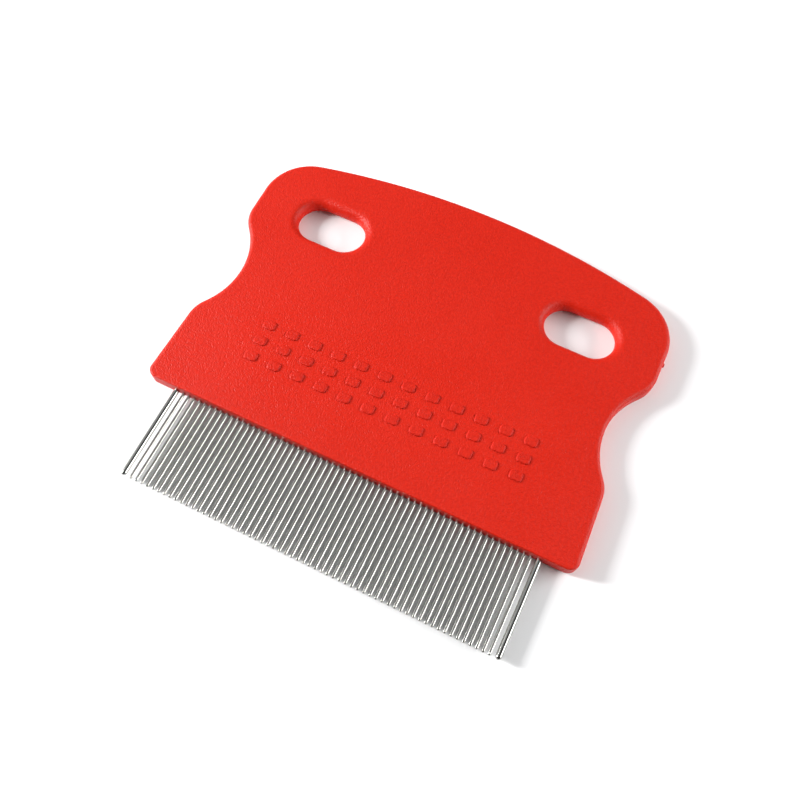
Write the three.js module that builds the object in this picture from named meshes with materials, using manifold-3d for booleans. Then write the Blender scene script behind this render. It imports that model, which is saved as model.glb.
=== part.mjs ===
// Flea comb: a moulded plastic plate that holds a row of fine steel pins.
// Units are millimetres. X runs along the row of pins, the pins point to -Y,
// and Z is the plate's thickness, with the back of the plate on Z = 0.
// Drawn with the pin edge of the plate on Y = 0, then centred over the origin.
import * as THREE from "three";
import { mergeVertices } from "three/addons/utils/BufferGeometryUtils.js";
import Module from "manifold-3d";

// Plate
const PLATE_THICKNESS = 3.4;
const PLATE_HEIGHT = 55.6;
const EDGE_RADIUS = 0.8;
const GRIP_HALF_WIDTH = 40;
const TOP_ARC_RADIUS = 143.5;
const TOP_CORNER_RADIUS = 9.3;

// Waist, where thumb and finger hold the plate
const WAIST_HALF_WIDTH = 35.2;
const WAIST_Y = 24.7;
const WAIST_RADIUS = 13.55;
const UPPER_BUMP_RADIUS = 6.2;
const LOWER_BUMP_RADIUS = 6.2;

// Lower sides, which spread towards the corners of the pin edge
const FOOT_HALF_WIDTH = 39.63;
const SIDE_SLANT = 0.046;
const FOOT_CORNER_RADIUS = 1.8;

// Two oval slots
const SLOT_X = 24.73;
const SLOT_Y = 40.4;
const SLOT_LENGTH = 13;
const SLOT_WIDTH = 7.73;
const SLOT_EDGE_RADIUS = 1.6;

// Grip pads, raised on the front face
const PAD_COLUMNS = 12;
const PAD_ROWS = 3;
const PAD_COLUMN_PITCH = 4.505;
const PAD_ROW_PITCH = 3.3;
const PAD_ROWS_MIDDLE_Y = 13.9;
const PAD_LENGTH = 2.2;
const PAD_WIDTH = 1.75;
const PAD_CORNER_RADIUS = 0.5;
const PAD_HEIGHT = 0.25;
const PAD_EDGE_RADIUS = 0.12;
const PAD_ROOT = 0.6;

// Pins
const PIN_COUNT = 61;
const PIN_PITCH = 1.071;
const PIN_RADIUS = 0.3;
const PIN_REACH = 17.05;
const PIN_BURIED = 8;
const GUARD_X = 33.55;
const GUARD_RADIUS = 0.52;
const PIN_SIDES = 8;
const TIP_STEPS = 2;
const HOLE_CLEARANCE = 0.04;

// Pins at each end of the row that share a wire with their neighbour
const HAIRPINS_PER_END = 2;

const PIN_Z = PLATE_THICKNESS / 2;
const CURVE_STEPS = 5;
const SLOT_CURVE_STEPS = 7;
const EDGE_STEPS = 3;

const wasm = await Module();
wasm.setup();

function toSolid(geometry) {
  const bare = geometry.index ? geometry.toNonIndexed() : geometry.clone();
  bare.deleteAttribute("normal");
  bare.deleteAttribute("uv");
  const merged = mergeVertices(bare, 1e-5);
  return new wasm.Manifold(new wasm.Mesh({
    numProp: 3,
    vertProperties: new Float32Array(merged.attributes.position.array),
    triVerts: new Uint32Array(merged.index.array),
  }));
}

function toGeometry(solid) {
  const mesh = solid.getMesh();
  const geometry = new THREE.BufferGeometry();
  geometry.setAttribute("position", new THREE.BufferAttribute(mesh.vertProperties, 3));
  geometry.setIndex(new THREE.BufferAttribute(mesh.triVerts, 1));
  geometry.computeVertexNormals();
  return geometry;
}

// Right half of the outline as arcs, from the pin edge round to the top centre.
function rightHandArcs() {
  const slantAngle = Math.atan(SIDE_SLANT);
  const topCentre = new THREE.Vector2(0, PLATE_HEIGHT - TOP_ARC_RADIUS);
  const cornerX = GRIP_HALF_WIDTH - TOP_CORNER_RADIUS;
  const cornerReach = TOP_ARC_RADIUS - TOP_CORNER_RADIUS;
  const cornerY = topCentre.y + Math.sqrt(cornerReach ** 2 - cornerX ** 2);
  const corner = new THREE.Vector2(cornerX, cornerY);
  const waist = new THREE.Vector2(WAIST_HALF_WIDTH + WAIST_RADIUS, WAIST_Y);

  const upperX = GRIP_HALF_WIDTH - UPPER_BUMP_RADIUS;
  const upperReach = WAIST_RADIUS + UPPER_BUMP_RADIUS;
  const upperY = WAIST_Y + Math.sqrt(upperReach ** 2 - (waist.x - upperX) ** 2);
  const upper = new THREE.Vector2(upperX, upperY);

  // A circle of the given radius that touches the slanted side at height y
  const besideSlant = (radius, y) => new THREE.Vector2(
    FOOT_HALF_WIDTH - SIDE_SLANT * y - radius / Math.cos(slantAngle), y);
  const lowerReach = WAIST_RADIUS + LOWER_BUMP_RADIUS;
  let lower = besideSlant(LOWER_BUMP_RADIUS, 0);
  for (let step = 0; step < 20; step += 1) {
    const y = WAIST_Y - Math.sqrt(lowerReach ** 2 - (waist.x - lower.x) ** 2);
    lower = besideSlant(LOWER_BUMP_RADIUS, y);
  }
  const foot = besideSlant(FOOT_CORNER_RADIUS, FOOT_CORNER_RADIUS);

  const angleFrom = (a, b) => Math.atan2(b.y - a.y, b.x - a.x);
  const lowerEnd = angleFrom(lower, waist);
  const upperStart = angleFrom(upper, waist);
  const topStart = angleFrom(topCentre, corner);
  return [
    { centre: foot, radius: FOOT_CORNER_RADIUS, from: -Math.PI / 2, to: slantAngle },
    { centre: lower, radius: LOWER_BUMP_RADIUS, from: slantAngle, to: lowerEnd },
    { centre: waist, radius: WAIST_RADIUS, from: lowerEnd + Math.PI, to: upperStart + Math.PI },
    { centre: upper, radius: UPPER_BUMP_RADIUS, from: upperStart, to: 0 },
    { centre: corner, radius: TOP_CORNER_RADIUS, from: 0, to: topStart },
    { centre: topCentre, radius: TOP_ARC_RADIUS, from: topStart, to: Math.PI / 2 },
  ];
}

function plateOutline() {
  const shape = new THREE.Shape();
  const arcs = rightHandArcs();
  const top = arcs.pop();
  for (const { centre, radius, from, to } of arcs) {
    shape.absarc(centre.x, centre.y, radius, from, to, to < from);
  }
  shape.absarc(0, top.centre.y, top.radius, top.from, Math.PI - top.from, false);
  for (const { centre, radius, from, to } of arcs.reverse()) {
    shape.absarc(-centre.x, centre.y, radius, Math.PI - to, Math.PI - from, to < from);
  }
  shape.closePath();
  return shape;
}

function ovalPath(x, y, length, width) {
  const radius = width / 2;
  const reach = length / 2 - radius;
  const path = new THREE.Path();
  path.absarc(x + reach, y, radius, -Math.PI / 2, Math.PI / 2, false);
  path.absarc(x - reach, y, radius, Math.PI / 2, Math.PI * 1.5, false);
  path.closePath();
  return path;
}

// A plate of the full thickness whose rims, inside and outside, are rounded.
function roundedPlate(shape, edgeRadius, curveSegments) {
  const geometry = new THREE.ExtrudeGeometry(shape, {
    depth: PLATE_THICKNESS - 2 * edgeRadius,
    bevelThickness: edgeRadius,
    bevelSize: edgeRadius,
    bevelOffset: -edgeRadius,
    bevelSegments: EDGE_STEPS,
    curveSegments,
  });
  geometry.translate(0, 0, edgeRadius);
  return toSolid(geometry);
}

function slottedSheet() {
  const halfX = GRIP_HALF_WIDTH * 1.5;
  const top = PLATE_HEIGHT * 1.5;
  const bottom = -PLATE_HEIGHT * 0.5;
  const sheet = new THREE.Shape();
  sheet.moveTo(-halfX, bottom);
  sheet.lineTo(halfX, bottom);
  sheet.lineTo(halfX, top);
  sheet.lineTo(-halfX, top);
  sheet.closePath();
  for (const side of [-1, 1]) {
    sheet.holes.push(ovalPath(side * SLOT_X, SLOT_Y, SLOT_LENGTH, SLOT_WIDTH));
  }
  return roundedPlate(sheet, SLOT_EDGE_RADIUS, SLOT_CURVE_STEPS);
}

function gripPadGeometry() {
  const x = PAD_LENGTH / 2;
  const y = PAD_WIDTH / 2;
  const r = PAD_CORNER_RADIUS;
  const shape = new THREE.Shape();
  shape.absarc(x - r, r - y, r, -Math.PI / 2, 0, false);
  shape.absarc(x - r, y - r, r, 0, Math.PI / 2, false);
  shape.absarc(r - x, y - r, r, Math.PI / 2, Math.PI, false);
  shape.absarc(r - x, r - y, r, Math.PI, Math.PI * 1.5, false);
  shape.closePath();
  const geometry = new THREE.ExtrudeGeometry(shape, {
    depth: PAD_ROOT + PAD_HEIGHT - 2 * PAD_EDGE_RADIUS,
    bevelThickness: PAD_EDGE_RADIUS,
    bevelSize: PAD_EDGE_RADIUS,
    bevelOffset: -PAD_EDGE_RADIUS,
    bevelSegments: 1,
    curveSegments: 1,
  });
  geometry.translate(0, 0, PAD_EDGE_RADIUS - PAD_ROOT);
  return geometry;
}

function addGripPads(plate) {
  const pad = toSolid(gripPadGeometry());
  let result = plate;
  for (let row = 0; row < PAD_ROWS; row += 1) {
    for (let column = 0; column < PAD_COLUMNS; column += 1) {
      const x = (column - (PAD_COLUMNS - 1) / 2) * PAD_COLUMN_PITCH;
      const y = PAD_ROWS_MIDDLE_Y + (row - (PAD_ROWS - 1) / 2) * PAD_ROW_PITCH;
      result = result.add(pad.translate([x, y, PLATE_THICKNESS]));
    }
  }
  return result;
}

// A straight pin along Y with a rounded tip, grown by margin to make its hole.
function straightPin(x, radius, margin) {
  const r = radius + margin;
  const tipY = -PIN_REACH - margin;
  const profile = [new THREE.Vector2(0, tipY)];
  for (let step = 1; step <= TIP_STEPS; step += 1) {
    const angle = (step / TIP_STEPS) * (Math.PI / 2);
    profile.push(new THREE.Vector2(r * Math.sin(angle), tipY + r * (1 - Math.cos(angle))));
  }
  profile.push(new THREE.Vector2(r, PIN_BURIED + margin));
  profile.push(new THREE.Vector2(0, PIN_BURIED + margin));
  const geometry = new THREE.LatheGeometry(profile, PIN_SIDES);
  geometry.translate(x, 0, PIN_Z);
  return toSolid(geometry);
}

// Two neighbouring pins of one wire, with its cross bar buried in the plate.
function hairpin(firstX, secondX, radius, margin) {
  const r = radius + margin;
  const bar = new THREE.CylinderGeometry(r, r, secondX - firstX, PIN_SIDES);
  bar.rotateZ(Math.PI / 2);
  bar.translate((firstX + secondX) / 2, PIN_BURIED - radius, PIN_Z);
  return straightPin(firstX, radius, margin)
    .add(straightPin(secondX, radius, margin))
    .add(toSolid(bar));
}

// Every piece of wire in the comb: its name and a function that builds it.
function wirePieces() {
  const pieces = [];
  const pinX = (number) => (number - (PIN_COUNT + 1) / 2) * PIN_PITCH;
  const label = (number) => String(number).padStart(2, "0");
  const paired = 2 * HAIRPINS_PER_END;
  for (let number = 1; number <= PIN_COUNT; number += 1) {
    const inHairpin = number <= paired || number > PIN_COUNT - paired;
    const x = pinX(number);
    if (inHairpin) {
      const next = number + 1;
      pieces.push({
        name: `hairpin_${label(number)}_${label(next)}`,
        build: (margin) => hairpin(x, pinX(next), PIN_RADIUS, margin),
      });
      number = next;
    } else {
      pieces.push({
        name: `pin_${label(number)}`,
        build: (margin) => straightPin(x, PIN_RADIUS, margin),
      });
    }
  }
  for (const [side, x] of [["left", -GUARD_X], ["right", GUARD_X]]) {
    pieces.push({
      name: `guard_pin_${side}`,
      build: (margin) => straightPin(x, GUARD_RADIUS, margin),
    });
  }
  return pieces;
}

function handleSolid(wires) {
  let handle = roundedPlate(plateOutline(), EDGE_RADIUS, CURVE_STEPS);
  handle = handle.intersect(slottedSheet());
  handle = addGripPads(handle);
  for (const wire of wires) {
    handle = handle.subtract(wire.build(HOLE_CLEARANCE));
  }
  return handle;
}

const redPlastic = new THREE.MeshStandardMaterial({ color: 0xe8301f, roughness: 0.48, metalness: 0 });
redPlastic.name = "red_plastic";
const steelWire = new THREE.MeshStandardMaterial({ color: 0xb9b6b0, roughness: 0.28, metalness: 1 });
steelWire.name = "steel_wire";

const comb = new THREE.Group();
comb.name = "flea_comb";
comb.position.y = (PIN_REACH - PLATE_HEIGHT) / 2;

function addPiece(name, solid, material) {
  const mesh = new THREE.Mesh(toGeometry(solid), material);
  mesh.name = name;
  comb.add(mesh);
}

const wires = wirePieces();
addPiece("handle", handleSolid(wires), redPlastic);
for (const wire of wires) {
  addPiece(wire.name, wire.build(0), steelWire);
}

export default comb;
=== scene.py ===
"""Flea comb: a moulded red plastic handle with two oval slots and three rows of grip pads,
holding one row of fine steel pins between two thicker guard pins.

The handle is drawn flat, in millimetres, with its pin edge on y = 0 and its back on z = 0.
It's then moved to where the frame's handle lies. X runs along the row of pins, and the pins point to -Y.
"""

import math

import bmesh
import bpy
from mathutils import Matrix, Vector


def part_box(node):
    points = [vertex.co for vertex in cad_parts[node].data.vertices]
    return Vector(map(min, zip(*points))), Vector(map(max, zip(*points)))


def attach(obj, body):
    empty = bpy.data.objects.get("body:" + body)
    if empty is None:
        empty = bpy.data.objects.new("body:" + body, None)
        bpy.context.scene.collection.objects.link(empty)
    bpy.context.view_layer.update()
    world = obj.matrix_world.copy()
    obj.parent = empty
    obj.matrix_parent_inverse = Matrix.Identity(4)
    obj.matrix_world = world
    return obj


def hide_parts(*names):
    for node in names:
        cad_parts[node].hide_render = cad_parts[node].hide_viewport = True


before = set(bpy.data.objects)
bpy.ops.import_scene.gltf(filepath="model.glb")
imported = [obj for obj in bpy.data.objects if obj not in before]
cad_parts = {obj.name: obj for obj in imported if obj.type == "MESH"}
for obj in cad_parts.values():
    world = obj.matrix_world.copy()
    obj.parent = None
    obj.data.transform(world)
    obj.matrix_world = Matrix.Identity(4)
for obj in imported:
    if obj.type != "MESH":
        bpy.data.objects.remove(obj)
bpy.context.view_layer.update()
scene = bpy.context.scene

MM = 0.001

# What the frame gives, in millimetres
handle_low, handle_high = (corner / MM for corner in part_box("handle"))
PIN_NODES = sorted(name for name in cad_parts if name.startswith(("pin_", "hairpin_")))
GUARD_NODES = ["guard_pin_left", "guard_pin_right"]
FIRST_SINGLE_PIN, MIDDLE_PIN, LAST_SINGLE_PIN = 5, 31, 57
PIN_EDGE_Y = handle_low.y
PLATE_HEIGHT = handle_high.y - handle_low.y
GRIP_HALF_WIDTH = handle_high.x

# Grip pads
PAD_COLUMNS = 12
PAD_ROWS = 3
PAD_COLUMN_PITCH = 4.505
PAD_ROW_PITCH = 3.3
PAD_ROWS_MIDDLE_Y = 13.9
PAD_LENGTH = 2.2
PAD_WIDTH = 1.75
PAD_CORNER_RADIUS = 0.5
PAD_HEIGHT = 0.25
PAD_FOOT_RADIUS = 0.06
PAD_EDGE_RADIUS = 0.18
PAD_FOOT_STEPS = 4
PAD_EDGE_STEPS = 5
PAD_CORNER_STEPS = 5
PAD_FLAT_MARGIN = 0.1

# Plate
PLATE_THICKNESS = handle_high.z - PAD_HEIGHT
RIM_RADIUS = 0.8
SLOT_RIM_RADIUS = 1.6
RIM_STEPS = 8
FLAT_MARGIN = 0.25
FRONT_RIM_SHARE = 0.35
# Share of a rim's inset inside which the rim is rubbed smoother and its colour lightened, a painted
# highlight along the rims
RUBBED_AND_SHEEN_SHARE = 0.7
SHARP_ANGLE = math.radians(40)

# Outline of the plate
TOP_ARC_RADIUS = 143.5
TOP_CORNER_RADIUS = 9.3
WAIST_HALF_WIDTH = 35.2
WAIST_Y = 24.7
WAIST_RADIUS = 13.55
UPPER_BUMP_RADIUS = 6.2
LOWER_BUMP_RADIUS = 6.2
FOOT_HALF_WIDTH = 39.63
SIDE_SLANT = 0.046
FOOT_CORNER_RADIUS = 1.8
OUTLINE_STEP = 0.6
ARC_STEPS_LEAST, ARC_STEPS_MOST = 12, 64

# Slots
SLOT_X = 24.73
SLOT_Y = 40.4
SLOT_LENGTH = 13.0
SLOT_WIDTH = 7.73
SLOT_ARC_STEPS = 32

# The mark that the mould's gate leaves on the right-hand edge
GATE_Y = 41.1
GATE_CELL = 1.7
GATE_PROFILE = [(0.62, 0.0), (0.5, 0.03), (0.44, 0.12), (0.40, 0.24), (0.33, 0.3), (0.15, 0.27)]

# Pins
PIN_COUNT = 61
GUARD_CELL_X = 34.6
PIN_SIDES = 16
TIP_STEPS = 5
TIP_FLAT_SHARE = 0.12
PIN_SPLAY = math.radians(0.12)
GUARD_SPLAY = PIN_SPLAY / 2
PIN_SEED = 7
GUARD_SEED = 3
HOLE_SIDES = 16


# ---------------------------------------------------------------- outline

def arc(centre, radius, start, end):
    """Points and outward normals along an arc; one that runs clockwise is a hollow in the edge."""
    steps = round(abs(end - start) * radius / OUTLINE_STEP)
    steps = min(max(steps, ARC_STEPS_LEAST), ARC_STEPS_MOST)
    side = 1 if end > start else -1
    found = []
    for step in range(steps + 1):
        angle = start + (end - start) * step / steps
        spoke = Vector((math.cos(angle), math.sin(angle)))
        found.append((centre + spoke * radius, spoke * side))
    return found


def right_hand_side():
    """Right half of the outline as touching arcs, from the foot up to the top centre."""
    slant = math.atan(SIDE_SLANT)
    top = Vector((0, PLATE_HEIGHT - TOP_ARC_RADIUS))
    corner_x = GRIP_HALF_WIDTH - TOP_CORNER_RADIUS
    corner_reach = TOP_ARC_RADIUS - TOP_CORNER_RADIUS
    corner = Vector((corner_x, top.y + math.sqrt(corner_reach ** 2 - corner_x ** 2)))
    waist = Vector((WAIST_HALF_WIDTH + WAIST_RADIUS, WAIST_Y))
    upper_x = GRIP_HALF_WIDTH - UPPER_BUMP_RADIUS
    upper_reach = WAIST_RADIUS + UPPER_BUMP_RADIUS
    upper = Vector((upper_x, WAIST_Y + math.sqrt(upper_reach ** 2 - (waist.x - upper_x) ** 2)))

    def beside_slant(radius, y):
        return Vector((FOOT_HALF_WIDTH - SIDE_SLANT * y - radius / math.cos(slant), y))

    lower_reach = WAIST_RADIUS + LOWER_BUMP_RADIUS
    lower = beside_slant(LOWER_BUMP_RADIUS, 0)
    for _ in range(20):
        rise = math.sqrt(lower_reach ** 2 - (waist.x - lower.x) ** 2)
        lower = beside_slant(LOWER_BUMP_RADIUS, WAIST_Y - rise)
    foot = beside_slant(FOOT_CORNER_RADIUS, FOOT_CORNER_RADIUS)

    to_waist_low = math.atan2(waist.y - lower.y, waist.x - lower.x)
    to_waist_high = math.atan2(waist.y - upper.y, waist.x - upper.x)
    top_start = math.atan2(corner.y - top.y, corner.x - top.x)
    points = arc(foot, FOOT_CORNER_RADIUS, -math.pi / 2, slant)
    points += arc(lower, LOWER_BUMP_RADIUS, slant, to_waist_low)
    points += arc(waist, WAIST_RADIUS, to_waist_low + math.pi, to_waist_high + math.pi)[1:]
    points += arc(upper, UPPER_BUMP_RADIUS, to_waist_high, 0)[1:]
    gate = Vector((GRIP_HALF_WIDTH, GATE_Y))
    half_cell = Vector((0, GATE_CELL / 2))
    points += [(gate - half_cell, Vector((1, 0))), (gate + half_cell, Vector((1, 0)))]
    points += arc(corner, TOP_CORNER_RADIUS, 0, top_start)
    points += arc(top, TOP_ARC_RADIUS, top_start, math.pi / 2)[1:]
    return points


def plate_outline(pin_edge_xs):
    """The whole outline, anticlockwise from the left end of the row of pins."""
    down = Vector((0, -1))
    front = [(Vector((x, 0)), down) for x in pin_edge_xs]
    right = right_hand_side()
    left = [(Vector((-p.x, p.y)), Vector((-n.x, n.y))) for p, n in reversed(right[:-1])]
    return front + right + left


def slot_outline(side):
    """An oval with its normals pointing into the slot."""
    radius = SLOT_WIDTH / 2
    reach = SLOT_LENGTH / 2 - radius
    found = []
    for end in (1, -1):
        centre = Vector((side * SLOT_X + end * reach, SLOT_Y))
        for step in range(SLOT_ARC_STEPS + 1):
            angle = math.pi * (step / SLOT_ARC_STEPS - 0.5 * end)
            spoke = Vector((math.cos(angle), math.sin(angle)))
            found.append((centre + spoke * radius, -spoke))
    return found


def pad_outline(x, y):
    """A rounded rectangle with its normals pointing out."""
    found = []
    for quarter in range(4):
        along = 1 if quarter in (0, 3) else -1
        across = 1 if quarter in (0, 1) else -1
        centre = Vector((x + along * (PAD_LENGTH / 2 - PAD_CORNER_RADIUS),
                         y + across * (PAD_WIDTH / 2 - PAD_CORNER_RADIUS)))
        for step in range(PAD_CORNER_STEPS + 1):
            angle = (quarter + step / PAD_CORNER_STEPS) * math.pi / 2
            spoke = Vector((math.cos(angle), math.sin(angle)))
            found.append((centre + spoke * PAD_CORNER_RADIUS, spoke))
    return found


# ---------------------------------------------------------------- handle

def rounded_wall(radius):
    """Inset and height of each ring of a wall with both rims rounded, from the back to the front."""
    rings = [(radius + FLAT_MARGIN, 0.0)]
    for step in range(RIM_STEPS + 1):
        angle = step / RIM_STEPS * math.pi / 2
        rings.append((radius * (1 - math.sin(angle)), radius * (1 - math.cos(angle))))
    return rings + [(inset, PLATE_THICKNESS - z) for inset, z in reversed(rings)]


def pad_wall():
    """Inset and height of each ring of a pad, from the fillet at its foot to its top."""
    base = PLATE_THICKNESS
    rings = [(-PAD_FOOT_RADIUS - FLAT_MARGIN / 2, base)]
    for step in range(PAD_FOOT_STEPS + 1):
        angle = step / PAD_FOOT_STEPS * math.pi / 2
        rings.append((-PAD_FOOT_RADIUS * (1 - math.sin(angle)),
                      base + PAD_FOOT_RADIUS * (1 - math.cos(angle))))
    for step in range(PAD_EDGE_STEPS + 1):
        angle = step / PAD_EDGE_STEPS * math.pi / 2
        rings.append((PAD_EDGE_RADIUS * (1 - math.cos(angle)),
                      base + PAD_HEIGHT - PAD_EDGE_RADIUS * (1 - math.sin(angle))))
    rings.append((PAD_EDGE_RADIUS + PAD_FLAT_MARGIN, base + PAD_HEIGHT))
    return rings


def crisper_lip(point, inset, z):
    """Tightens the upper rim of the wall that the pins come out of; it fades round the feet."""
    if point.y >= FOOT_CORNER_RADIUS or z < PLATE_THICKNESS / 2:
        return inset, z
    fade = 1 - point.y / FOOT_CORNER_RADIUS
    share = 1 - (1 - FRONT_RIM_SHARE) * fade
    return inset * share, PLATE_THICKNESS - (PLATE_THICKNESS - z) * share


def add_rings(bm, rub_and_sheen, path, rings, open_cells=()):
    """Skins a wall between rings, and returns the first ring, the last one and the two at mid height."""
    made = []
    rubbed_and_sheen_inset = RUBBED_AND_SHEEN_SHARE * rings[0][0]
    for inset, z in rings:
        ring = []
        for point, normal in path:
            in_by, height = crisper_lip(point, inset, z)
            place = point - normal * in_by
            vert = bm.verts.new((place.x, place.y, height))
            # Rim mask: rubbed smoother, and lightened in colour as a painted highlight
            vert[rub_and_sheen] = 1.0 if inset < rubbed_and_sheen_inset else 0.0
            ring.append(vert)
        made.append(ring)
    wall = len(rings) // 2
    for level in range(1, len(made)):
        lower, upper = made[level - 1], made[level]
        for i in range(len(path)):
            if level == wall and i in open_cells:
                continue
            j = (i + 1) % len(path)
            bm.faces.new((lower[i], lower[j], upper[j], upper[i]))
    return made[0], made[-1], made[wall - 1], made[wall]


def add_round_feature(bm, lower, upper, i, centre, profile, sides):
    """Fills cell i of a wall with a round hole or stub, from each ring's radius and how proud it is."""
    corners = [upper[i + 1], upper[i], lower[i], lower[i + 1]]
    along = (lower[i + 1].co - lower[i].co).normalized()
    up = (upper[i].co - lower[i].co).normalized()
    out = along.cross(up)
    rings = []
    for radius, proud in profile:
        ring = []
        for step in range(sides):
            angle = step / sides * 2 * math.pi
            spoke = along * math.cos(angle) + up * math.sin(angle)
            ring.append(bm.verts.new(centre + spoke * radius + out * proud))
        rings.append(ring)
    quarter = sides // 4
    for k, corner in enumerate(corners):
        for step in range(quarter):
            first = rings[0][k * quarter + step]
            second = rings[0][(k * quarter + step + 1) % sides]
            bm.faces.new((first, second, corner))
        meeting = rings[0][(k + 1) * quarter % sides]
        bm.faces.new((meeting, corners[(k + 1) % 4], corner))
    for inner, outer in zip(rings, rings[1:]):
        for step in range(sides):
            after = (step + 1) % sides
            bm.faces.new((inner[step], inner[after], outer[after], outer[step]))
    bm.faces.new(rings[-1])


def fill_flat(bm, loops, facing):
    """Covers a flat face that has holes in it."""
    edges = []
    for loop in loops:
        for i, vert in enumerate(loop):
            edges.append(bm.edges.get((vert, loop[(i + 1) % len(loop)])))
    bmesh.ops.triangle_fill(bm, use_beauty=True, edges=edges, normal=Vector((0, 0, facing)))


def finished_mesh(bm, name):
    """Turns the faces out, keeps hard edges hard and returns the mesh in metres, in its place."""
    bmesh.ops.recalc_face_normals(bm, faces=bm.faces)
    for face in bm.faces:
        face.smooth = True
    for edge in bm.edges:
        edge.smooth = edge.calc_face_angle(0.0) < SHARP_ANGLE
    mesh = bpy.data.meshes.new(name)
    bm.to_mesh(mesh)
    bm.free()
    mesh.transform(Matrix.Scale(MM, 4) @ Matrix.Translation((0, PIN_EDGE_Y, 0)))
    return mesh


def add_piece(name, mesh, material, nodes):
    """Links a finished mesh, which rides on the comb and stands for the frame's nodes."""
    piece = bpy.data.objects.new(name, mesh)
    scene.collection.objects.link(piece)
    mesh.materials.clear()
    mesh.materials.append(material)
    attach(piece, "root")
    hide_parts(*nodes)
    return piece


def handle_mesh(pins, guards):
    """The moulded plate: rims, slots, pads, gate mark and a blind bore for every pin."""
    bm = bmesh.new()
    # Rim mask, for rims rubbed smoother and a painted highlight on them
    rub_and_sheen = bm.verts.layers.float.new("rim")
    cell = pins["pitch"]
    inner = [(k - PIN_COUNT / 2) * cell for k in range(PIN_COUNT + 1)]
    pin_edge_xs = [-GUARD_CELL_X] + inner + [GUARD_CELL_X]
    path = plate_outline(pin_edge_xs)
    gate_cell = next(i for i, (point, _) in enumerate(path)
                     if point.x > 0 and abs(point.y - GATE_Y + GATE_CELL / 2) < 1e-6)
    pin_cells = range(len(pin_edge_xs) - 1)
    back, front, wall_low, wall_high = add_rings(
        bm, rub_and_sheen, path, rounded_wall(RIM_RADIUS), {gate_cell, *pin_cells})
    front_loops, back_loops = [front], [back]
    for side in (-1, 1):
        back, front, _, _ = add_rings(bm, rub_and_sheen, slot_outline(side), rounded_wall(SLOT_RIM_RADIUS))
        front_loops.append(front)
        back_loops.append(back)
    for row in range(PAD_ROWS):
        for column in range(PAD_COLUMNS):
            x = (column - (PAD_COLUMNS - 1) / 2) * PAD_COLUMN_PITCH
            y = PAD_ROWS_MIDDLE_Y + (row - (PAD_ROWS - 1) / 2) * PAD_ROW_PITCH
            foot, top, _, _ = add_rings(bm, rub_and_sheen, pad_outline(x, y), pad_wall())
            front_loops.append(foot)
            bm.faces.new(top)
    fill_flat(bm, front_loops, 1)
    fill_flat(bm, back_loops, -1)

    for i in pin_cells:
        if i in (pin_cells[0], pin_cells[-1]):
            wire = guards
            x = math.copysign(guards["x"], i - 1)
        else:
            wire = pins
            x = (pin_edge_xs[i] + pin_edge_xs[i + 1]) / 2
        centre = Vector((x, 0, PLATE_THICKNESS / 2))
        bore = [(wire["radius"], 0.0), (wire["radius"], -wire["buried"])]
        add_round_feature(bm, wall_low, wall_high, i, centre, bore, HOLE_SIDES)
    gate = Vector((GRIP_HALF_WIDTH, GATE_Y, PLATE_THICKNESS / 2))
    add_round_feature(bm, wall_low, wall_high, gate_cell, gate, GATE_PROFILE, HOLE_SIDES)
    return finished_mesh(bm, "handle_moulding")


# ---------------------------------------------------------------- pins

def wire_facts(node):
    """Radius, reach, buried length and middle of a straight pin, in the handle's own millimetres."""
    low, high = (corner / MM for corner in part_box(node))
    return {
        "radius": (high.z - low.z) / 2,
        "reach": PIN_EDGE_Y - low.y,
        "buried": high.y - PIN_EDGE_Y,
        "x": abs(low.x + high.x) / 2,
        "z": (high.z + low.z) / 2,
    }


def node_maker(tree):
    """Adds a node, sets its plain fields and joins or fills its inputs by name or number."""
    def make(kind, inputs=None, **fields):
        node = tree.nodes.new(kind)
        for name, value in fields.items():
            setattr(node, name, value)
        for key, value in (inputs or {}).items():
            if isinstance(value, bpy.types.NodeSocket):
                tree.links.new(value, node.inputs[key])
            else:
                node.inputs[key].default_value = value
        return node
    return make


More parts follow.
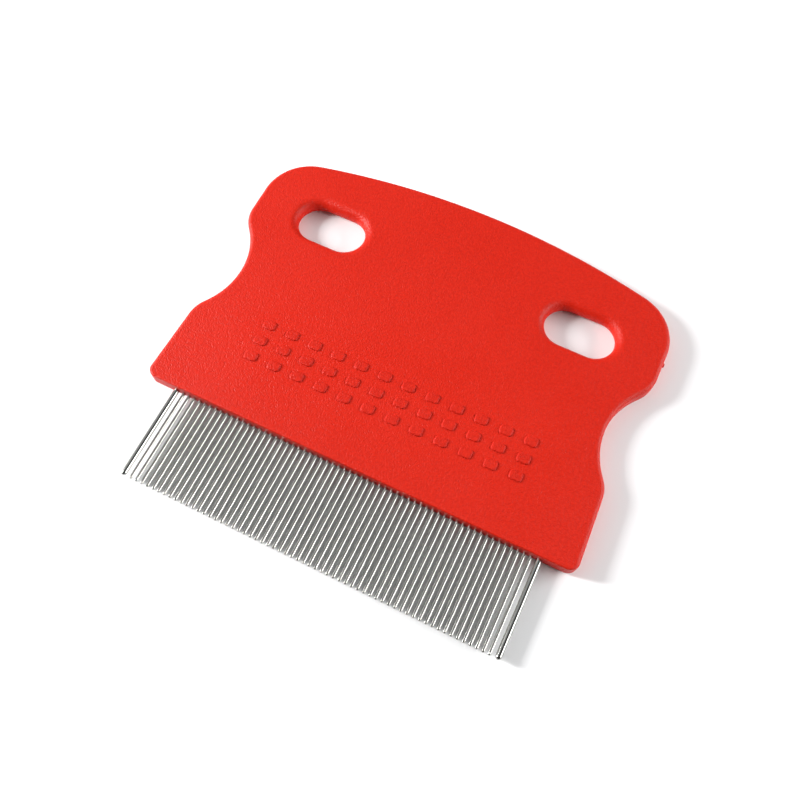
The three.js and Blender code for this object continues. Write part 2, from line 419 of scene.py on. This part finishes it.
def pin_row_tree():
    """Round-tipped pins of one wire, side by side along X from a first place, pointing to -Y."""
    tree = bpy.data.node_groups.new("pin row", "GeometryNodeTree")
    sockets = tree.interface
    sockets.new_socket("Geometry", in_out="INPUT", socket_type="NodeSocketGeometry")
    for name, kind in [("Count", "Int"), ("Seed", "Int"), ("First X", "Float"), ("Pitch", "Float"),
                       ("Root Y", "Float"), ("Height", "Float"), ("Radius", "Float"), ("Reach", "Float"),
                       ("Buried", "Float"), ("Splay", "Float"), ("Steel", "Material")]:
        sockets.new_socket(name, in_out="INPUT", socket_type=f"NodeSocket{kind}")
    sockets.new_socket("Geometry", in_out="OUTPUT", socket_type="NodeSocketGeometry")
    make = node_maker(tree)
    given = make("NodeGroupInput").outputs

    def maths(operation, a, b=0.0):
        return make("ShaderNodeMath", {0: a, 1: b}, operation=operation).outputs[0]

    # One pin: a chain of points whose first ones curl round the tip
    index = make("GeometryNodeInputIndex").outputs[0]
    turn = maths("MULTIPLY", maths("MINIMUM", index, float(TIP_STEPS)), math.pi / 2 / TIP_STEPS)
    swell = maths("MAXIMUM", maths("SINE", turn), TIP_FLAT_SHARE)
    back_off = maths("MULTIPLY", given["Radius"], maths("SUBTRACT", 1.0, maths("COSINE", turn)))
    tip_y = maths("SUBTRACT", back_off, given["Reach"])
    is_end = maths("GREATER_THAN", index, TIP_STEPS + 0.5)
    whole = maths("ADD", given["Buried"], maths("SUBTRACT", given["Reach"], given["Radius"]))
    y = maths("ADD", tip_y, maths("MULTIPLY", is_end, whole))
    chain = make("GeometryNodeMeshLine", {"Count": TIP_STEPS + 2})
    place = make("ShaderNodeCombineXYZ", {"Y": y}).outputs[0]
    bent = make("GeometryNodeSetPosition", {"Geometry": chain.outputs[0], "Position": place})
    curve = make("GeometryNodeMeshToCurve", {"Mesh": bent.outputs[0]})
    thickness = maths("MULTIPLY", given["Radius"], swell)
    sized = make("GeometryNodeSetCurveRadius", {"Curve": curve.outputs[0], "Radius": thickness})
    section = make("GeometryNodeCurvePrimitiveCircle", {"Resolution": PIN_SIDES, "Radius": 1.0})
    radius = make("GeometryNodeInputRadius").outputs[0]
    skin_inputs = {"Curve": sized.outputs[0], "Profile Curve": section.outputs[0], "Scale": radius}
    skin = make("GeometryNodeCurveToMesh", {**skin_inputs, "Fill Caps": True})

    # The row: each pin leans a hair to one side
    start = make("ShaderNodeCombineXYZ", {"X": given["First X"], "Y": given["Root Y"], "Z": given["Height"]})
    step = make("ShaderNodeCombineXYZ", {"X": given["Pitch"]})
    row_inputs = {"Count": given["Count"], "Start Location": start.outputs[0], "Offset": step.outputs[0]}
    row = make("GeometryNodeMeshLine", row_inputs)
    least = maths("MULTIPLY", given["Splay"], -1.0)
    lean = make("FunctionNodeRandomValue", {2: least, 3: given["Splay"], "Seed": given["Seed"]})
    turned = make("ShaderNodeCombineXYZ", {"Z": lean.outputs[1]})
    placed_inputs = {"Points": row.outputs[0], "Instance": skin.outputs[0], "Rotation": turned.outputs[0]}
    placed = make("GeometryNodeInstanceOnPoints", placed_inputs)
    real = make("GeometryNodeRealizeInstances", {"Geometry": placed.outputs[0]})
    smooth = make("GeometryNodeSetShadeSmooth", {"Geometry": real.outputs[0]})
    painted = make("GeometryNodeSetMaterial", {"Geometry": smooth.outputs[0], "Material": given["Steel"]})
    make("NodeGroupOutput", {"Geometry": painted.outputs[0]})
    return tree


def grown(tree, name, values):
    """Runs a Geometry Nodes tree once and returns its result as a plain mesh."""
    seed_mesh = bpy.data.meshes.new(name)
    holder = bpy.data.objects.new(name + "_holder", seed_mesh)
    scene.collection.objects.link(holder)
    modifier = holder.modifiers.new("row", "NODES")
    modifier.node_group = tree
    for item in tree.interface.items_tree:
        if item.in_out == "INPUT" and item.name in values:
            modifier[item.identifier] = values[item.name]
    evaluated = holder.evaluated_get(bpy.context.evaluated_depsgraph_get())
    mesh = bpy.data.meshes.new_from_object(evaluated)
    mesh.name = name
    holder.modifiers.remove(modifier)
    bpy.data.objects.remove(holder)
    return mesh


def pin_row_values(wire, count, first_x, pitch, seed, splay, steel):
    """The tree's inputs for one kind of pin, in metres."""
    return {
        "Count": count, "Seed": seed, "Splay": splay, "Steel": steel,
        "First X": first_x * MM, "Pitch": pitch * MM, "Root Y": PIN_EDGE_Y * MM,
        "Height": wire["z"] * MM, "Radius": wire["radius"] * MM,
        "Reach": wire["reach"] * MM, "Buried": wire["buried"] * MM,
    }


# ---------------------------------------------------------------- materials

# Grain of each finish: its sizes in millimetres, and how much of the relief is the finer one
COARSE_TO_FINE = 2.0
PLASTIC_GRAIN = {"Fine size mm": 0.24, "Cloud size mm": 14.0, "Fine share": 0.65}
WIRE_GRAIN = {"Fine size mm": 0.06, "Cloud size mm": 0.9, "Fine share": 0.6}

# Colours of each finish, and how strongly the painted highlight on the rims shows
PLASTIC_TINT = {
    "Dark": (0.47, 0.0085, 0.0010, 1),
    "Light": (0.58, 0.0130, 0.0020, 1),
    # Lighter red painted on the rims as a highlight
    "Rim sheen colour": (0.58, 0.015, 0.004, 1),
    "Rim sheen strength": 0.35,
}
WIRE_TINT = {
    "Dark": (0.37, 0.365, 0.345, 1),
    "Light": (0.49, 0.485, 0.46, 1),
}

# Roughness of each finish where its mask is low and high
MASK_LOW, MASK_HIGH = 0.3, 0.7
PLASTIC_ROUGHNESS = (0.46, 0.54)
WIRE_ROUGHNESS = (0.07, 0.14)
RUBBED_SMOOTHER = 0.06
SPECK_SHARE = 0.6

# Height of the relief, in metres
PLASTIC_RELIEF = 0.00015
WIRE_RELIEF = 0.000006
WIRE_RELIEF_STRENGTH = 0.08

def shader_group(name, inputs, outputs):
    """An empty shader node group with named inputs and outputs."""
    tree = bpy.data.node_groups.new(name, "ShaderNodeTree")
    for label, kind, value in inputs:
        socket = tree.interface.new_socket(label, in_out="INPUT", socket_type=f"NodeSocket{kind}")
        socket.default_value = value
    for label, kind in outputs:
        tree.interface.new_socket(label, in_out="OUTPUT", socket_type=f"NodeSocket{kind}")
    return tree


def grain_group():
    """Fine surface relief at two sizes, as a height, a cloudy mask and a speckled one."""
    tree = shader_group(
        "surface grain",
        [("Place", "Vector", (0, 0, 0)), ("Fine size mm", "Float", 0.2), ("Cloud size mm", "Float", 4.0),
         ("Fine share", "Float", 0.7)],
        [("Height", "Float"), ("Clouds", "Float"), ("Specks", "Float")])
    make = node_maker(tree)
    given = make("NodeGroupInput").outputs

    def noise(size, detail, roughness):
        scale = make("ShaderNodeMath", {0: 1 / MM, 1: size}, operation="DIVIDE").outputs[0]
        return make("ShaderNodeTexNoise", {"Vector": given["Place"], "Scale": scale, "Detail": detail,
                                           "Roughness": roughness}).outputs["Fac"]

    fine = noise(given["Fine size mm"], 1.0, 0.5)
    coarse_size = make("ShaderNodeMath", {0: given["Fine size mm"], 1: COARSE_TO_FINE}, operation="MULTIPLY")
    coarse = noise(coarse_size.outputs[0], 1.0, 0.5)
    clouds = noise(given["Cloud size mm"], 3.0, 0.55)
    height_inputs = {0: given["Fine share"], 2: coarse, 3: fine}
    height = make("ShaderNodeMix", height_inputs, data_type="FLOAT").outputs[0]
    specks = make("ShaderNodeMapRange", {0: coarse, 1: 0.35, 2: 0.65}).outputs[0]
    make("NodeGroupOutput", {"Height": height, "Clouds": clouds, "Specks": specks})
    return tree


def tint_group():
    """Shifts a colour between a darker and a lighter one by a mask, and lifts it where a second mask is set,
    a painted highlight on the rims.
    """
    tree = shader_group(
        "tint and wear",
        [("Dark", "Color", (0.5, 0.5, 0.5, 1)), ("Light", "Color", (0.6, 0.6, 0.6, 1)),
         ("Mask", "Float", 0.5), ("Rim sheen mask", "Float", 0.0), ("Rim sheen colour", "Color", (0.8, 0.8, 0.8, 1)),
         ("Rim sheen strength", "Float", 0.2)],
        [("Colour", "Color")])
    make = node_maker(tree)
    given = make("NodeGroupInput").outputs
    base = make("ShaderNodeMix", {0: given["Mask"], 6: given["Dark"], 7: given["Light"]}, data_type="RGBA")
    # Painted highlight: how far the colour is lifted towards the lighter rim colour
    sheen_share = make("ShaderNodeMath", {0: given["Rim sheen mask"], 1: given["Rim sheen strength"]}, operation="MULTIPLY")
    sheen_inputs = {0: sheen_share.outputs[0], 6: base.outputs[2], 7: given["Rim sheen colour"]}
    colour = make("ShaderNodeMix", sheen_inputs, data_type="RGBA")
    make("NodeGroupOutput", {"Colour": colour.outputs[2]})
    return tree


def new_material(name):
    """An empty material and the maker of its nodes."""
    material = bpy.data.materials.new(name)
    material.use_nodes = True
    material.node_tree.nodes.clear()
    return material, node_maker(material.node_tree)


def placed_group(make, group, values, links):
    """Places a shared shader group in a material with its own values and links."""
    node = make("ShaderNodeGroup", node_tree=group)
    for name, value in values.items():
        node.inputs[name].default_value = value
    for name, socket in links.items():
        node.id_data.links.new(socket, node.inputs[name])
    return node.outputs


def roughness_by(make, mask, span):
    """Roughness that goes from one end of its span to the other as the mask rises."""
    span_inputs = {0: mask, 1: MASK_LOW, 2: MASK_HIGH, 3: span[0], 4: span[1]}
    return make("ShaderNodeMapRange", span_inputs).outputs[0]


def moulded_plastic(grain, tint):
    """Satin red plastic with a fine spark-eroded grain, a little smoother where hands rub the rims, and with
    the rims' colour lightened as a painted highlight.
    """
    material, make = new_material("red_plastic_moulded")
    place = make("ShaderNodeTexCoord").outputs["Object"]
    relief = placed_group(make, grain, PLASTIC_GRAIN, {"Place": place})
    rim = make("ShaderNodeAttribute", attribute_name="rim").outputs["Fac"]
    mottle_inputs = {0: SPECK_SHARE, 2: relief["Clouds"], 3: relief["Specks"]}
    mottle = make("ShaderNodeMix", mottle_inputs, data_type="FLOAT").outputs[0]
    # The rim mask lightens the colour there: a painted highlight on the rims
    colour = placed_group(make, tint, PLASTIC_TINT, {"Mask": mottle, "Rim sheen mask": rim})["Colour"]
    rough = roughness_by(make, relief["Clouds"], PLASTIC_ROUGHNESS)
    polish = make("ShaderNodeMath", {0: rim, 1: RUBBED_SMOOTHER}, operation="MULTIPLY").outputs[0]
    rubbed = make("ShaderNodeMath", {0: rough, 1: polish}, operation="SUBTRACT").outputs[0]
    bump_inputs = {"Strength": 1.0, "Distance": PLASTIC_RELIEF, "Height": relief["Height"]}
    bump = make("ShaderNodeBump", bump_inputs).outputs[0]
    surface = make("ShaderNodeBsdfPrincipled", {
        "Base Color": colour,
        "Roughness": rubbed,
        "Normal": bump,
        "IOR": 1.49,
        "Specular IOR Level": 0.24,
        "Subsurface Weight": 0.06,
        "Subsurface Scale": 0.0012,
        "Subsurface Radius": (1.0, 0.15, 0.08),
    })
    make("ShaderNodeOutputMaterial", {"Surface": surface.outputs[0]})
    return material


def drawn_wire(grain, tint):
    """Half-bright drawn steel: fine lines along the wire, with faint stains."""
    material, make = new_material("steel_wire_drawn")
    place = make("ShaderNodeTexCoord").outputs["Object"]
    along = make("ShaderNodeMapping", {"Vector": place, "Scale": (1.0, 0.03, 1.0)}).outputs[0]
    lines = placed_group(make, grain, WIRE_GRAIN, {"Place": along})
    colour = placed_group(make, tint, WIRE_TINT, {"Mask": lines["Clouds"]})["Colour"]
    rough = roughness_by(make, lines["Height"], WIRE_ROUGHNESS)
    bump_inputs = {"Strength": WIRE_RELIEF_STRENGTH, "Distance": WIRE_RELIEF, "Height": lines["Height"]}
    bump = make("ShaderNodeBump", bump_inputs).outputs[0]
    surface = make("ShaderNodeBsdfPrincipled", {
        "Base Color": colour,
        "Roughness": rough,
        "Normal": bump,
        "Metallic": 1.0,
    })
    make("ShaderNodeOutputMaterial", {"Surface": surface.outputs[0]})
    return material


def pale_sweep():
    """Matt white table surface."""
    material, make = new_material("pale_sweep")
    place = make("ShaderNodeTexCoord").outputs["Object"]
    clouds = make("ShaderNodeTexNoise", {"Vector": place, "Scale": 9.0, "Detail": 2.0}).outputs["Fac"]
    colour = make("ShaderNodeMix", {0: clouds, 6: (0.92, 0.92, 0.925, 1), 7: (0.95, 0.95, 0.95, 1)},
                  data_type="RGBA").outputs[2]
    surface = make("ShaderNodeBsdfPrincipled", {"Base Color": colour, "Roughness": 0.7})
    make("ShaderNodeOutputMaterial", {"Surface": surface.outputs[0]})
    return material


# ---------------------------------------------------------------- camera, table and light

CAMERA_PLACE = Vector((25.38, -55.98, 135.36)) * MM
CAMERA_TURN = (23.072, -0.502, 25.802)
CAMERA_LENS = 38.17
TABLE_SIZE = 1.6
WINDOW_TOWARDS = (-0.86, -0.20, 0.43)
WINDOW_DISTANCE = 0.42
WINDOW_SIZE = (0.08, 0.16)
WINDOW_LEVEL = 84
FAR_WALL_TOWARDS = (0.84, 0.34, 0.40)
FAR_WALL_DISTANCE = 0.6
FAR_WALL_SIZE = (0.56, 0.22)
FAR_WALL_LEVEL = 12
ROOM_LIGHT_SIDE = (-1.0, 0.3, 0.3)
ROOM_FADE = (0.10, 0.85)
ROOM_DARK = 0.06
ROOM_LIGHT = 0.6
ROOM_COLOUR = (0.97, 0.985, 1.0, 1)


def add_camera():
    camera = bpy.data.objects.new("camera", bpy.data.cameras.new("camera"))
    camera.data.lens = CAMERA_LENS
    camera.data.sensor_width = 36
    camera.data.clip_start = 0.005
    camera.location = CAMERA_PLACE
    camera.rotation_euler = [math.radians(angle) for angle in CAMERA_TURN]
    scene.collection.objects.link(camera)
    scene.camera = camera


def add_table():
    half = TABLE_SIZE / 2
    mesh = bpy.data.meshes.new("table_top")
    corners = [(-half, -half, 0), (half, -half, 0), (half, half, 0), (-half, half, 0)]
    mesh.from_pydata(corners, [], [(0, 1, 2, 3)])
    mesh.materials.append(pale_sweep())
    table = bpy.data.objects.new("table_top", mesh)
    scene.collection.objects.link(table)


def add_soft_box(name, towards, distance, size, radiance):
    """An oblong light seen from the comb in a given direction, with the brightness of its face."""
    light = bpy.data.lights.new(name, "AREA")
    light.shape = "RECTANGLE"
    light.size, light.size_y = size
    light.energy = radiance * math.pi * size[0] * size[1]
    lamp = bpy.data.objects.new(name, light)
    direction = Vector(towards).normalized()
    lamp.location = direction * distance
    lamp.rotation_euler = direction.to_track_quat("Z", "Y").to_euler()
    scene.collection.objects.link(lamp)


def add_room():
    """A dim room, lighter on the side of the window."""
    world = bpy.data.worlds.new("room")
    world.use_nodes = True
    make = node_maker(world.node_tree)
    place = make("ShaderNodeTexCoord").outputs["Generated"]
    background = world.node_tree.nodes["Background"]
    window_side = make("ShaderNodeVectorMath", {0: place, 1: Vector(ROOM_LIGHT_SIDE).normalized()},
                       operation="DOT_PRODUCT").outputs["Value"]
    fade = {0: window_side, 1: ROOM_FADE[0], 2: ROOM_FADE[1], 3: ROOM_DARK, 4: ROOM_LIGHT}
    level = make("ShaderNodeMapRange", fade, interpolation_type="SMOOTHSTEP").outputs[0]
    world.node_tree.links.new(level, background.inputs["Strength"])
    background.inputs["Color"].default_value = ROOM_COLOUR
    scene.world = world


def add_light():
    add_soft_box("window", WINDOW_TOWARDS, WINDOW_DISTANCE, WINDOW_SIZE, WINDOW_LEVEL)
    add_soft_box("far_wall", FAR_WALL_TOWARDS, FAR_WALL_DISTANCE, FAR_WALL_SIZE, FAR_WALL_LEVEL)
    add_room()
    scene.view_settings.view_transform = "Standard"


# ---------------------------------------------------------------- the comb

add_camera()
add_table()
add_light()

pin_wire = wire_facts(f"pin_{MIDDLE_PIN:02d}")
guard_wire = wire_facts("guard_pin_right")
single_pins_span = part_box(f"pin_{LAST_SINGLE_PIN:02d}")[0].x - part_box(f"pin_{FIRST_SINGLE_PIN:02d}")[0].x
pin_wire["pitch"] = single_pins_span / MM / (LAST_SINGLE_PIN - FIRST_SINGLE_PIN)

grain = grain_group()
tint = tint_group()
red_plastic = moulded_plastic(grain, tint)
steel_wire = drawn_wire(grain, tint)

pin_row = pin_row_tree()
first_pin_x = -pin_wire["pitch"] * (PIN_COUNT - 1) / 2
pin_values = pin_row_values(
    pin_wire, PIN_COUNT, first_pin_x, pin_wire["pitch"], PIN_SEED, PIN_SPLAY, steel_wire)
guard_values = pin_row_values(
    guard_wire, len(GUARD_NODES), -guard_wire["x"], 2 * guard_wire["x"], GUARD_SEED, GUARD_SPLAY,
    steel_wire)

add_piece("comb_handle", handle_mesh(pin_wire, guard_wire), red_plastic, ["handle"])
add_piece("fine_pins", grown(pin_row, "fine_pins", pin_values), steel_wire, PIN_NODES)
add_piece("guard_pins", grown(pin_row, "guard_pins", guard_values), steel_wire, GUARD_NODES)
